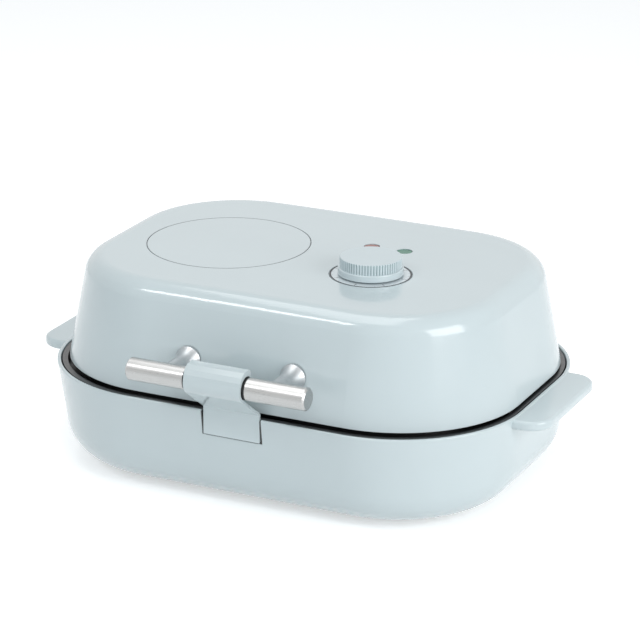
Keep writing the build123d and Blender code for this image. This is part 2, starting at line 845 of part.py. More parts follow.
def thermostat_bracket():
    """A bridge whose two feet lie against the lid's roof."""
    low = thermostat_top()
    y_span = around(dial_y, thermostat_y / 2)
    deck = block(around(dial_x, thermostat_x / 2), y_span, (low, low + bracket_thickness))
    for side in (-1, 1):
        inner = dial_x + side * thermostat_x / 2
        outer = inner + side * bracket_thickness
        deck += block(between(inner, outer), y_span, (low, roof_z))
        foot_low = roof_z - bracket_thickness - crown_rise
        deck += block(between(outer, outer + side * bracket_foot), y_span, (foot_low, roof_z))
    deck -= rod_z(spindle_radius + bracket_thickness, (low, roof_z), dial_x, dial_y)
    return deck & crown(lid_wall)


def lamp_lens(x):
    """A round lens pushed up through the roof until its flange stops it, just below flush."""
    stem = rod_z(lens_radius, (roof_z - lens_flange, lid_top_z), x, lamp_y) & crown(lens_sink)
    flange_span = (roof_z - crown_rise - lens_flange, roof_z)
    flange = rod_z(lens_flange_radius, flange_span, x, lamp_y) & crown(lid_wall)
    return stem + flange


def lamp_board():
    """The lamp board with its two small lamps, staked on two pins of the roof."""
    top = roof_z - board_drop
    x_span = around(board_middle_x(), board_half_x)
    body = block(x_span, around(lamp_y, board_half_y), (top - board_thickness, top))
    for x, y in board_pins():
        body -= rod_z(screw_radius, (top - board_thickness, top), x, y)
    for x in (lamp_red_x, lamp_green_x):
        lamp = rod_z(neon_radius, (top, top + neon_length), x, lamp_y)
        body += fillet(top_edges(lamp), neon_radius / 2)
    return body


def thermal_fuse():
    seat = upper_z(reflector_z)
    return rod_x(fuse_radius, around(fuse_x, fuse_half_length), lid_centre_y, seat + fuse_radius)


def fuse_strap():
    """A strap over the fuse, fixed to the upper reflector's back."""
    seat = upper_z(reflector_z)
    return saddle(fuse_x, lid_centre_y, seat, seat + fuse_radius, fuse_radius)


def lid_lead():
    """A lead from the thermostat across to the upper element's rear pin."""
    pin_end = element_end_x + bead_length + pin_reach
    pin = Vector(pin_end, hollow_middles()[1], upper_z(element_z))
    body_end = Vector(dial_x + thermostat_x / 2, dial_y + lid_lead_y, thermostat_top() - thermostat_z / 2)
    fall_x, fall_y, fall_z = lid_lead_fall
    points = [
        pin,
        pin + Vector(lid_lead_exit, 0, 0),
        Vector(pin.X + fall_x, pin.Y + fall_y, body_end.Z + fall_z),
        body_end + Vector(lid_lead_run, 0, 0),
        body_end,
    ]
    return round_bar(FilletPolyline(*points, radius=lid_lead_bend), lead_radius)


def scale_disc():
    """The dial's scale ring, with a clearance hole for the spindle."""
    body = disc(scale_radius, scale_thickness, dial_x, dial_y)
    return body - rod_z(2 * spindle_radius, (roof_z, lid_top_z + crown_rise), dial_x, dial_y)


# Hinges
def base_bracket(side):
    """A leaf on the tub's rear wall with two ears that hold the hinge pin."""
    reach = knuckle_width / 2 + knuckle_gap + hinge_ear_width
    face = tub_wall_y(base_leaf_bottom_z)
    back = rim_half_y + leaf_thickness
    top = hinge_axis_z - knuckle_radius - 2 * knuckle_gap
    body = block(around(side * hinge_x, reach), (face, back), (base_leaf_bottom_z, top))
    web = make_face(
        Polyline(
            (rim_half_y, top - 2 * knuckle_radius),
            (back, top - 2 * knuckle_radius),
            (hinge_axis_y + knuckle_radius, hinge_axis_z),
            (hinge_axis_y - knuckle_radius, hinge_axis_z),
            (rim_half_y, top),
            close=True,
        )
    )
    for end in (-1, 1):
        inner = side * hinge_x + end * (knuckle_width / 2 + knuckle_gap)
        span = between(inner, inner + end * hinge_ear_width)
        body += rod_x(knuckle_radius, span, hinge_axis_y, hinge_axis_z)
        body += extrude(Plane.YZ.offset(span[0]) * web, hinge_ear_width)
    body -= rod_x(hinge_pin_radius, around(side * hinge_x, rim_half_x), hinge_axis_y, hinge_axis_z)
    for end in (-1, 1):
        x = side * hinge_x + end * leaf_screw_x
        body -= rod_y(screw_radius + screw_gap, (face - cut_over, back - cut_over), x, base_leaf_screw_z)
    return body - tub_body(0, tub_bottom_z)


def lid_bracket(side):
    """A leaf on the lid's rear wall with the knuckle that turns on the pin."""
    low_z = hinge_axis_z - knuckle_radius / 2
    foot = make_face(
        Polyline(
            (rim_half_y / 2, low_z),
            (hinge_axis_y, low_z),
            (hinge_axis_y, hinge_axis_z + knuckle_radius),
            (lid_centre_y + lid_wall_y(lid_leaf_top_z) + leaf_thickness, lid_leaf_top_z),
            (rim_half_y / 2, lid_leaf_top_z),
            close=True,
        )
    )
    span = around(side * hinge_x, knuckle_width / 2)
    body = extrude(Plane.YZ.offset(span[0]) * foot, knuckle_width)
    body += rod_x(knuckle_radius, span, hinge_axis_y, hinge_axis_z)
    body -= rod_x(hinge_pin_radius + hinge_pin_gap, span, hinge_axis_y, hinge_axis_z)
    reach = (rim_half_y / 2, lid_centre_y + lid_wall_y(lid_leaf_screw_z) + leaf_thickness)
    for end in (-1, 1):
        x = side * hinge_x + end * leaf_screw_x
        body -= rod_y(screw_radius + screw_gap, reach, x, lid_leaf_screw_z)
    return body - lid_body(0, lid_edge_z - cut_over)


def hinge_pins():
    reach = knuckle_width / 2 + knuckle_gap + hinge_ear_width
    spans = [around(side * hinge_x, reach) for side in (-1, 1)]
    return [rod_x(hinge_pin_radius, span, hinge_axis_y, hinge_axis_z) for span in spans]


def wall_screw(x, z, inner_face, lean):
    """A screw driven outward along Y through a leaning wall from its inner face."""
    seat = inner_face - screw_head_radius * tan(radians(lean))
    head = rod_y(screw_head_radius, (seat - screw_head_height, seat), x, z)
    return head + rod_y(screw_radius, (seat, seat + tub_wall + leaf_thickness), x, z)


def base_hinge_screws():
    face = tub_wall_y(base_leaf_screw_z) - tub_wall / cos(radians(tub_draft))
    return [wall_screw(x, base_leaf_screw_z, face, tub_draft) for x in leaf_screw_xs()]


def lid_hinge_screws():
    face = lid_centre_y + lid_wall_y(lid_leaf_screw_z) - lid_wall / cos(radians(lid_draft))
    return [wall_screw(x, lid_leaf_screw_z, face, lid_draft) for x in leaf_screw_xs()]


# Bar handle and latch
def bar_handle():
    """A round bar, turned down in its middle for the sleeve."""
    bar = rod_x(bar_radius, (-bar_half_length, bar_half_length), bar_y, bar_z)
    bar = chamfer(bar.edges().filter_by(GeomType.CIRCLE), bar_chamfer)
    middle = (-sleeve_half_length, sleeve_half_length)
    return bar - (rod_x(bar_radius, middle, bar_y, bar_z) - rod_x(bar_core_radius, middle, bar_y, bar_z))


def latch_sleeve():
    """The sleeve that the clip turns on; its ends show as dark rings beside the clip."""
    half = sleeve_half_length - sleeve_gap
    tube = rod_x(sleeve_radius, (-half, half), bar_y, bar_z)
    return tube - rod_x(bar_core_radius + sleeve_gap, (-half, half), bar_y, bar_z)


def handle_post(side):
    """A post along Y that flares toward the lid and is cut to the lid's face and to the bar."""
    face_y = lid_centre_y - lid_wall_y(bar_z)
    back_y = face_y + post_flare_length
    flare_end = (post_flare_radius, face_y - post_edge)
    flare_start = (post_radius, face_y - post_edge - post_flare_length)
    outline = Polyline((0, back_y), (0, bar_y), (post_radius, bar_y), flare_start)
    outline += TangentArc(flare_start, flare_end, tangent=(0, 1))
    outline += Polyline(flare_end, (post_flare_radius, back_y), (0, back_y))
    body = Pos(side * post_x, 0, bar_z) * revolve(make_face(outline), Axis.Y)
    body -= rod_x(bar_radius, (-bar_half_length, bar_half_length), bar_y, bar_z)
    body -= lid_body(-post_lid_gap, lid_edge_z)
    body -= block((-rim_half_x, rim_half_x), (2 * bar_y, bar_y), (0, lid_top_z))
    hole = (bar_y + bar_radius + post_hole_end, rim_half_y)
    return body - rod_y(screw_radius + screw_gap, hole, side * post_x, bar_z)


def handle_screws():
    """Screws from inside the lid, through its front wall and into the posts."""
    inner_face = lid_centre_y - lid_wall_y(bar_z) + lid_wall
    seat = inner_face + screw_head_radius * tan(radians(lid_draft)) + screw_seat_gap
    screws = []
    for side in (-1, 1):
        head = rod_y(screw_head_radius, (seat, seat + screw_head_height), side * post_x, bar_z)
        shank = (bar_y + bar_radius + post_screw_end, seat)
        screws.append(head + rod_y(screw_radius, shank, side * post_x, bar_z))
    return screws


def wrap_radius():
    return bar_radius + latch_bore_gap + latch_thickness


def slope_and_tab():
    """The clip's section below the bar: the slope meets the wrap smoothly, the tab hangs down."""
    bend = Vector(tab_face_y, bend_z)
    to_bar = Vector(bar_y, bar_z) - bend
    lean = degrees(asin(wrap_radius() / to_bar.length))
    along = to_bar.normalized().rotate(Axis.Z, lean)
    inward = along.rotate(Axis.Z, -90)
    slope_top = bend + along * sqrt(to_bar.length**2 - wrap_radius() ** 2)
    inner_bend = bend + inward * latch_thickness
    inner_bend -= along * (latch_thickness * (1 - inward.X) / abs(along.X))
    strip = [bend, slope_top, slope_top + inward * latch_thickness, inner_bend]
    slope = make_face(Polyline(*[tuple(point) for point in strip], close=True))
    low = bar_z - latch_swing_radius
    inner_y = tab_face_y + latch_thickness
    tab_points = [(tab_face_y, low), (tab_face_y, bend_z), tuple(inner_bend)[:2], (inner_y, low)]
    tab = make_face(Polyline(*tab_points, close=True)) & Pos(bar_y, bar_z) * Circle(latch_swing_radius)
    return slope + tab


def crest_points(radius):
    """The facets on top of the wrap, from its front round to its rear."""
    return [(-radius, 0), *crest_facets, (radius, 0)]


def mouth_points():
    """The open rear-lower side of the wrap, through which it snaps over the bar."""
    reach = 3 * bar_radius
    angles = [radians(angle) for angle in latch_mouth]
    return [(0, 0)] + [(reach * cos(angle), reach * sin(angle)) for angle in angles]


def latch_clip():
    """A clip in one piece: a wrap round the bar, a slope down to the rim and a tab in the notch."""
    wrap = Circle(wrap_radius()) + make_face(Polyline(*crest_points(wrap_radius()), close=True))
    wrap -= make_face(Polyline(*mouth_points(), close=True))
    section = Pos(bar_y, bar_z) * wrap + slope_and_tab()
    section -= Pos(bar_y, bar_z) * Circle(bar_radius + latch_bore_gap)
    clip = extrude(Plane.YZ * section, latch_half_width, both=True)
    back = bar_y + wrap_radius()
    heights = (bar_z, bar_z + 2 * wrap_radius())
    for side in (-1, 1):
        inner = side * (latch_half_width - crest_corner)
        corner = block(between(inner, side * latch_half_width), (back - crest_corner, back), heights)
        clip -= corner - rod_z(crest_corner, heights, inner, back - crest_corner)
    return clip


save("base_shell", base_shell())
save("base_frame", base_frame())
save("lower_plate", plate())
save("lower_heater", element())
save("lower_heater_beads", element_beads())
save("lower_heater_clips", element_straps())
save("lower_reflector", reflector())
save("lower_plate_catch", plate_catch())
save("lower_catch_spring", catch_spring(rim_half_x - frame_inset - frame_ring_width))
save("terminal_block", terminal_block())
save("base_lead_live", base_lead(hollow_middles()[0], terminal_y - lead_spacing))
save("base_lead_neutral", base_lead(hollow_middles()[1], terminal_y + lead_spacing))
save("cord_gland", cord_gland())
save("base_screws", upper(frame_screws(pillar_places())))
save("rubber_feet", rubber_feet())
save("base_hinge_brackets", [base_bracket(side) for side in (-1, 1)])
save("base_hinge_screws", base_hinge_screws())
save("hinge_pins", hinge_pins())
save("lid_shell", lid_shell())
save("lid_frame", lid_frame())
save("upper_plate", upper(plate()))
save("upper_heater", upper(element()))
save("upper_heater_beads", upper(element_beads()))
save("upper_heater_clips", upper(element_straps()))
save("upper_reflector", upper(reflector()))
save("upper_plate_catch", upper(plate_catch()))
save("upper_catch_spring", upper(catch_spring(lid_half_x - lid_wall - frame_fit - lid_ring_width)))
save("badge_disc", disc(badge_radius, badge_thickness, badge_x, badge_y))
save("scale_disc", scale_disc())
save("dial_knob", dial_knob())
save("dial_spindle", dial_spindle())
save("thermostat", thermostat())
save("thermostat_bracket", thermostat_bracket())
save("red_lamp_lens", lamp_lens(lamp_red_x))
save("green_lamp_lens", lamp_lens(lamp_green_x))
save("lamp_board", lamp_board())
save("thermal_fuse", thermal_fuse())
save("fuse_strap", fuse_strap())
save("lid_lead", lid_lead())
save("lid_screws", frame_screws(lid_pillar_places()))
save("lid_hinge_brackets", [lid_bracket(side) for side in (-1, 1)])
save("lid_hinge_screws", lid_hinge_screws())
save("bar_handle", bar_handle())
save("latch_sleeve", latch_sleeve())
save("handle_post_left", handle_post(-1))
save("handle_post_right", handle_post(1))
save("handle_screws", handle_screws())
save("latch_clip", latch_clip())
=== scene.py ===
import math
import bmesh
import bpy
from mathutils import Matrix, Vector


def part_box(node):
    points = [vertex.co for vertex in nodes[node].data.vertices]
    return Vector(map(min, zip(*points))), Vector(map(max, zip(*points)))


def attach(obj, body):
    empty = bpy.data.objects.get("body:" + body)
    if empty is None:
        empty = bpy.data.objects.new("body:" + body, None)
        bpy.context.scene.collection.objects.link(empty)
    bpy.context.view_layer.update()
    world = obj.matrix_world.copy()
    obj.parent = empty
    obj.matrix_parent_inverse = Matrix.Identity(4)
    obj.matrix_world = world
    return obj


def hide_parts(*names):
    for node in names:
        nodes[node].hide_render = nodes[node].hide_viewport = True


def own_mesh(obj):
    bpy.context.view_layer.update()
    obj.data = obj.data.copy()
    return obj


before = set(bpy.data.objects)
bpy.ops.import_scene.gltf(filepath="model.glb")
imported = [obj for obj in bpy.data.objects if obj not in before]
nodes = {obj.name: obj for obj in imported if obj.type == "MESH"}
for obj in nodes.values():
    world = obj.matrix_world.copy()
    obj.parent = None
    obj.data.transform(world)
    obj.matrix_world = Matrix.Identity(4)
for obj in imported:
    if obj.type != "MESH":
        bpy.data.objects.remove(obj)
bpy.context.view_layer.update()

# The tub with its two ears: a deep moulding of phenolic resin, sprayed and baked in a pale blue
# gloss lacquer. It stands on four feet and carries everything else; the lid's dome is the same.
def linear(code):
    """An sRGB hex code as linear red, green, blue and alpha."""
    channels = [int(code[i:i + 2], 16) / 255 for i in (1, 3, 5)]
    return [c / 12.92 if c <= 0.04045 else ((c + 0.055) / 1.055) ** 2.4 for c in channels] + [1.0]


def add(tree, kind, inputs=None, **settings):
    """Adds a node with its settings; an input is a value or another node's output."""
    node = tree.nodes.new(kind)
    for name, value in settings.items():
        setattr(node, name, value)
    for name, value in (inputs or {}).items():
        if isinstance(value, bpy.types.NodeSocket):
            tree.links.new(value, node.inputs[name])
        else:
            node.inputs[name].default_value = value
    return node


def blank(name):
    """A new material with an empty tree and its object coordinates."""
    material = bpy.data.materials.new(name)
    material.use_nodes = True
    tree = material.node_tree
    tree.nodes.clear()
    return material, tree, add(tree, "ShaderNodeTexCoord").outputs["Object"]


def finish_with(tree, where, tint, polish, relief=None, inputs=None):
    """The surface shader. Tint, polish and relief each start with a pattern: the width of a noise's
    features in millimetres, or another node's output. Two hex codes follow it in the tint, two
    roughnesses in the polish, and a height in millimetres in the relief."""
    parts = []
    for part in (tint, polish, relief):
        if part and not isinstance(part[0], bpy.types.NodeSocket):
            noise = {"Vector": where, "Scale": 1000 / part[0], "Detail": 2.0}
            part = (add(tree, "ShaderNodeTexNoise", noise).outputs["Fac"], *part[1:])
        parts.append(part)
    (mottle, first, second), (wear, smooth, rough), relief = parts
    colour = {"Factor": mottle, 6: linear(first), 7: linear(second)}
    span = {"Value": wear, "From Min": 0.3, "From Max": 0.7, "To Min": smooth, "To Max": rough}
    inputs = {
        "Base Color": add(tree, "ShaderNodeMix", colour, data_type="RGBA").outputs[2],
        "Roughness": add(tree, "ShaderNodeMapRange", span).outputs["Result"],
        **(inputs or {}),
    }
    if relief:
        bump = {"Height": relief[0], "Strength": 1.0, "Distance": relief[1] / 1000}
        inputs["Normal"] = add(tree, "ShaderNodeBump", bump).outputs["Normal"]
    shader = add(tree, "ShaderNodeBsdfPrincipled", inputs)
    add(tree, "ShaderNodeOutputMaterial", {"Surface": shader.outputs["BSDF"]})
    return shader


def dress(names, material):
    """Gives CAD nodes their material."""
    for name in names:
        nodes[name].data.materials.clear()
        nodes[name].data.materials.append(material)


# Baked lacquer gives a clear reflection over a faint orange peel of about 2 mm.
lacquer, tree, where = blank("pale_blue_baked_lacquer")
orange_peel = add(
    tree,
    "ShaderNodeTexNoise",
    {"Vector": where, "Scale": 1000 / 2.2, "Detail": 0.0},
)
finish_with(
    tree,
    where,
    tint=(45, "#C5D1D4", "#C9D5D8"),
    polish=(8, 0.14, 0.19),
    relief=(orange_peel.outputs["Fac"], 0.003),
    inputs={"IOR": 1.5, "Coat Weight": 0.4, "Coat Roughness": 0.05},
)
dress(["base_shell"], lacquer)

# Four rubber feet, pushed into the floor of the tub from below, and the rubber bush of the
# cord's inlet in the rear wall. Both are moulded, with a fine dull grain.
rubber, tree, where = blank("moulded_black_rubber")
finish_with(
    tree,
    where,
    tint=(3, "#1B1B1C", "#242425"),
    polish=(1.5, 0.62, 0.75),
    relief=(0.8, 0.03),
)
dress(["rubber_feet", "cord_gland"], rubber)

# The tub's inner frame, moulded in heat-proof black PBT with a fine satin grain. Its top ring
# shows as a dark grey line inside the pale rim.
satin, tree, where = blank("satin_black_moulded_pbt")
finish_with(
    tree,
    where,
    tint=(12, "#15181A", "#1B1E20"),
    polish=(2, 0.30, 0.40),
    relief=(0.7, 0.01),
    inputs={"IOR": 1.6, "Coat Weight": 0.25, "Coat Roughness": 0.25},
)
dress(["base_frame"], satin)

# The tray under the lower element, pressed from aluminised sheet: a bright crystalline spangle
# of about 9 mm over the steel, a little duller where it was drawn.
sheet, tree, where = blank("aluminised_steel_sheet")
spangle = add(tree, "ShaderNodeTexVoronoi", {"Vector": where, "Scale": 1000 / 9})
finish_with(
    tree,
    where,
    tint=(spangle.outputs["Distance"], "#B9BABB", "#CACBCC"),
    polish=(5, 0.30, 0.45),
    inputs={"Metallic": 1.0},
)
dress(["lower_reflector"], sheet)

# The sheathed heating element, bent to a U. Its steel sheath is dull and turned straw and brown
# in patches by the heat.
sheath, tree, where = blank("heat_tinted_steel_sheath")
finish_with(
    tree,
    where,
    tint=(14, "#6B6157", "#8A8178"),
    polish=(3, 0.45, 0.6),
    inputs={"Metallic": 1.0},
)
dress(["lower_heater"], sheath)

# Ceramic beads on the element's ends and the terminal block on the floor: pressed steatite,
# off-white and slightly grainy.
steatite, tree, where = blank("pressed_steatite_ceramic")
finish_with(
    tree,
    where,
    tint=(1.5, "#E9E3D6", "#F1ECE2"),
    polish=(2, 0.5, 0.65),
    relief=(0.5, 0.02),
)
dress(["lower_heater_beads", "terminal_block"], steatite)

# Straps that hold the element to its tray, pressed from zinc-plated strip; the plating has a soft
# bluish mottle.
zinc, tree, where = blank("zinc_plated_steel")
finish_with(
    tree,
    where,
    tint=(2.5, "#A9A9A6", "#BEBFC0"),
    polish=(1.2, 0.28, 0.42),
    inputs={"Metallic": 1.0},
)
dress(["lower_heater_clips"], zinc)

# Leads from the element's pins to the terminal block, in sleeves of braided glass and silicone:
# the braid shows as a fine slanting weave.
sleeve, tree, where = blank("braided_lead_sleeve")
braid = add(tree, "ShaderNodeTexVoronoi", {"Vector": where, "Scale": 1000 / 0.7})
finish_with(
    tree,
    where,
    tint=(braid.outputs["Distance"], "#E6E1D6", "#CFC8BA"),
    polish=(1, 0.55, 0.68),
    relief=(braid.outputs["Distance"], 0.08),
)
dress(["base_lead_live", "base_lead_neutral"], sleeve)

# The lower plate: cast aluminium under a dark non-stick coat with fine pale flecks. It drops
# into its frame and is held by the sprung catch at the left.
nonstick, tree, where = blank("flecked_nonstick_coat")
grit = add(tree, "ShaderNodeTexVoronoi", {"Vector": where, "Scale": 1000 / 2.4})
fleck = add(
    tree,
    "ShaderNodeMapRange",
    {
        "Value": grit.outputs["Distance"],
        "From Min": 0.10,
        "From Max": 0.16,
        "To Min": 1.0,
        "To Max": 0.0,
    },
)
finish_with(
    tree,
    where,
    tint=(fleck.outputs["Result"], "#2A2A2B", "#6A6965"),
    polish=(6, 0.36, 0.46),
    relief=(1.2, 0.015),
)
dress(["lower_plate"], nonstick)

# The catch that holds the plate, a slide of the frame's black PBT, and the coil spring behind it,
# wound from 0.7 mm wire in five turns. The spring stands on the frame and gives way to the slide.
dress(["lower_plate_catch"], satin)


def baked(piece):
    """Applies the modifiers of a piece to its mesh."""
    graph = bpy.context.evaluated_depsgraph_get()
    data = bpy.data.meshes.new_from_object(piece.evaluated_get(graph))
    piece.modifiers.clear()
    piece.data = data


def node_tree(name, *sockets):
    """A Geometry Nodes tree with named inputs and one geometry out."""
    tree = bpy.data.node_groups.new(name, "GeometryNodeTree")
    tree.interface.new_socket("Geometry", in_out="OUTPUT", socket_type="NodeSocketGeometry")
    for label, kind in sockets:
        tree.interface.new_socket(label, in_out="INPUT", socket_type=kind)
    return tree, add(tree, "NodeGroupInput").outputs


def finish_tree(tree, shape, material):
    """Ends a tree: its instances made real, in one material."""
    real = add(tree, "GeometryNodeRealizeInstances", {"Geometry": shape}).outputs["Geometry"]
    dressed = add(tree, "GeometryNodeSetMaterial", {"Geometry": real, "Material": material})
    add(tree, "NodeGroupOutput", {"Geometry": dressed.outputs["Geometry"]})


def placed(name, data):
    """A new object of the scene."""
    piece = bpy.data.objects.new(name, data)
    bpy.context.scene.collection.objects.link(piece)
    return piece


def grown(name, tree, values):
    """A piece grown by a Geometry Nodes tree with its inputs set, as a plain mesh."""
    piece = placed(name, bpy.data.meshes.new(name))
    modifier = piece.modifiers.new("nodes", "NODES")
    modifier.node_group = tree
    for item in tree.interface.items_tree:
        if item.in_out == "INPUT":
            modifier[item.identifier] = values[item.name]
    baked(piece)
    return piece


coil, given = node_tree(
    "coil_spring",
    ("Turns", "NodeSocketFloat"),
    ("Radius", "NodeSocketFloat"),
    ("Length", "NodeSocketFloat"),
    ("Wire", "NodeSocketFloat"),
    ("Place", "NodeSocketVector"),
    ("Metal", "NodeSocketMaterial"),
)
spiral = add(
    coil,
    "GeometryNodeCurveSpiral",
    {
        "Resolution": 24,
        "Rotations": given["Turns"],
        "Start Radius": given["Radius"],
        "End Radius": given["Radius"],
        "Height": given["Length"],
    },
)
circle = {"Resolution": 10, "Radius": given["Wire"]}
round_wire = add(coil, "GeometryNodeCurvePrimitiveCircle", circle)
wound = add(
    coil,
    "GeometryNodeCurveToMesh",
    {
        "Curve": spiral.outputs["Curve"],
        "Profile Curve": round_wire.outputs["Curve"],
        "Fill Caps": True,
    },
)
lying = add(
    coil,
    "GeometryNodeTransform",
    {
        "Geometry": wound.outputs["Mesh"],
        "Translation": given["Place"],
        "Rotation": (0, math.pi / 2, 0),
    },
)
finish_tree(coil, lying.outputs["Geometry"], given["Metal"])


def corners(node):
    """The lowest and highest corner of a CAD node."""
    return [Vector(corner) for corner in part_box(node)]


def catch_spring(node, body):
    """Winds a spring over a node's length and puts it on a body, in place of the node."""
    wire_radius, travel = 0.00035, 0.004
    low, high = corners(node)
    start = Vector((low.x + wire_radius, (low.y + high.y) / 2, (low.z + high.z) / 2))
    length = high.x - low.x
    values = {
        "Turns": 5.0,
        "Radius": (high.y - low.y) / 2 - wire_radius,
        "Length": length - 2 * wire_radius,
        "Wire": wire_radius,
        "Place": start,
        "Metal": zinc,
    }
    spring = grown(node + "_wound", coil, values)
    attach(spring, body)
    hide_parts(node)
    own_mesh(spring)


catch_spring("lower_catch_spring", "base")

# Pan head screws of zinc-plated steel, with a rolled thread and a cross recess, where the packed
# model has plain ones: eight down through the inner frame, and two through each lower hinge leaf.
def islands(name):
    """The lowest and highest corner of each separate solid in a CAD node."""
    merge_distance = 1e-6
    mesh = bmesh.new()
    mesh.from_mesh(nodes[name].data)
    mesh.verts.ensure_lookup_table()
    bmesh.ops.remove_doubles(mesh, verts=mesh.verts, dist=merge_distance)
    waiting = set(mesh.verts)
    boxes = []
    while waiting:
        group = [waiting.pop()]
        for vert in group:
            near = {edge.other_vert(vert) for edge in vert.link_edges} & waiting
            waiting -= near
            group.extend(near)
        low = Vector([min(vert.co[i] for vert in group) for i in range(3)])
        high = Vector([max(vert.co[i] for vert in group) for i in range(3)])
        boxes.append((low, high))
    mesh.free()
    return boxes


def turned(profile, steps):
    """A bmesh of a profile of radius and height points, turned about Z."""
    merge_distance = 1e-7
    mesh = bmesh.new()
    verts = [mesh.verts.new((radius, 0, height)) for radius, height in profile]
    edges = [mesh.edges.new(pair) for pair in zip(verts, verts[1:])]
    bmesh.ops.spin(
        mesh,
        geom=verts + edges,
        cent=(0, 0, 0),
        axis=(0, 0, 1),
        angle=math.tau,
        steps=steps,
        use_merge=True,
    )
    bmesh.ops.remove_doubles(mesh, verts=mesh.verts, dist=merge_distance)
    bmesh.ops.recalc_face_normals(mesh, faces=mesh.faces)
    return mesh


def as_object(mesh, name, material):
    """An object made of a bmesh, with one material."""
    data = bpy.data.meshes.new(name)
    mesh.to_mesh(data)
    mesh.free()
    data.materials.append(material)
    return placed(name, data)


def screw_mesh(length):
    """A screw along Z with its head at zero: recess, rounded head, thread and point."""
    head, head_height = 0.0028, 0.002
    rounding = [(0.7 * head, 0), (0.93 * head, 0.0003), (head, 0.0009)]
    crest, pitch, thread_depth = 0.0015, 0.0008, 0.0002
    root = crest - thread_depth
    turns = int((length - head_height - 2 * pitch) / pitch)
    profile = [(0, 0), *rounding, (head, head_height), (root, head_height)]
    for i in range(turns):
        start = head_height + (i + 0.5) * pitch
        profile += [(root, start), (crest, start + pitch / 2)]
    thread_end = head_height + (turns + 0.5) * pitch
    profile += [(root, thread_end), (crest / 3, length), (0, length)]
    screw = as_object(turned(profile, 28), "screw", zinc)
    recess_length, recess_width, recess_depth = 0.0030, 0.0007, 0.0011
    cross = bmesh.new()
    for x, y in ((recess_length, recess_width), (recess_width, recess_length)):
        bmesh.ops.create_cube(cross, size=1, matrix=Matrix.Diagonal((x, y, 2 * recess_depth, 1)))
    tool = as_object(cross, "cross_tool", zinc)
    cut = screw.modifiers.new("recess", "BOOLEAN")
    cut.object = tool
    cut.operation = "DIFFERENCE"
    cut.use_self = True
    baked(screw)
    bpy.data.objects.remove(tool)
    return screw


at_points, given = node_tree(
    "screws_at_points",
    ("Points", "NodeSocketObject"),
    ("Screw", "NodeSocketObject"),
    ("Direction", "NodeSocketVector"),
    ("Metal", "NodeSocketMaterial"),
)
cloud = add(at_points, "GeometryNodeObjectInfo", {"Object": given["Points"]}).outputs["Geometry"]
one = add(at_points, "GeometryNodeObjectInfo", {"Object": given["Screw"]}).outputs["Geometry"]
lean = add(at_points, "FunctionNodeAlignRotationToVector", {"Vector": given["Direction"]}, axis="Z")
put_in = {"Points": cloud, "Instance": one, "Rotation": lean.outputs["Rotation"]}
driven = add(at_points, "GeometryNodeInstanceOnPoints", put_in).outputs["Instances"]
finish_tree(at_points, driven, given["Metal"])


def set_of_screws(node, axis, body):
    """Puts a screw along an axis at each plain screw of a node; its head is at the axis's start."""
    boxes = islands(node)
    index = 1 if axis.y else 2
    low, high = boxes[0]
    screw = screw_mesh(high[index] - low[index])
    spots = bmesh.new()
    for low, high in boxes:
        place = (low + high) / 2
        place[index] = low[index] if axis[index] > 0 else high[index]
        spots.verts.new(place)
    points = as_object(spots, "spots", zinc)
    values = {"Points": points, "Screw": screw, "Direction": axis, "Metal": zinc}
    piece = grown(node + "_driven", at_points, values)
    bpy.data.objects.remove(points)
    bpy.data.objects.remove(screw)
    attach(piece, body)
    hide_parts(node)


set_of_screws("base_screws", Vector((0, 0, -1)), "base")
set_of_screws("base_hinge_screws", Vector((0, 1, 0)), "base")

# The two hinges at the rear: brackets bent from steel sheet and lacquered with the tub, which
# turn on ground pins of zinc-plated steel.
dress(["base_hinge_brackets"], lacquer)
dress(["hinge_pins"], zinc)

# The lid: a domed moulding in the tub's lacquer, with its own inner frame, plate and element
# above the tub's, mirrored, and the same catch.
dress(["lid_shell"], lacquer)
dress(["lid_frame", "upper_plate_catch"], satin)
dress(["upper_plate"], nonstick)
dress(["upper_heater"], sheath)
dress(["upper_heater_beads"], steatite)
dress(["upper_reflector"], sheet)
catch_spring("upper_catch_spring", "lid")
dress(["upper_heater_clips", "fuse_strap", "thermal_fuse"], zinc)
dress(["lid_hinge_brackets"], lacquer)
dress(["lid_lead"], sleeve)
set_of_screws("lid_screws", Vector((0, 0, 1)), "lid")
set_of_screws("lid_hinge_screws", Vector((0, 1, 0)), "lid")

# Two indicator lenses of tinted polycarbonate, half clear, pushed up through the roof until they
# lie just under its face. Small lamps stand on the board under them.
def lens_material(name, deep, light):
    """Tinted polycarbonate with a moulded face."""
    material, tree, where = blank(name)
    finish_with(
        tree,
        where,
        tint=(3, deep, light),
        polish=(1, 0.15, 0.25),
        relief=(0.9, 0.01),
        inputs={"IOR": 1.58, "Transmission Weight": 0.2},
    )
    return material


dress(["red_lamp_lens"], lens_material("red_polycarbonate", "#9C5F5A", "#AE6F6A"))
dress(["green_lamp_lens"], lens_material("green_polycarbonate", "#237A60", "#328C70"))
# The board of the lamps is a phenolic moulding: dark brown, with a dull even polish.
phenolic, tree, where = blank("brown_phenolic_moulding")
finish_with(
    tree,
    where,
    tint=(4, "#2B2420", "#372E29"),
    polish=(2, 0.4, 0.5),
)
dress(["lamp_board"], phenolic)

# A plain round badge let into the roof, in the lid's lacquer. Round its edge a dark line 0.4 mm
# wide is laid in the ink material as painted shade of the seam; the dial's scale has a broader
# printed border.
dress(["badge_disc"], lacquer)
# Pad-printed ink dries to a nearly black film, a little duller than the lacquer.
ink, tree, where = blank("dark_grey_pad_print")
finish_with(
    tree,
    where,
    tint=(0.6, "#25292D", "#30353A"),
    polish=(0.4, 0.35, 0.5),
)
# A print is drawn twice this height, about a plane, and thinned as it is laid on a face.
flat_half = 0.0005


def round_place(node):
    """The centre and radius of a round node."""
    low, high = corners(node)
    return (low + high) / 2, (high.x - low.x) / 2


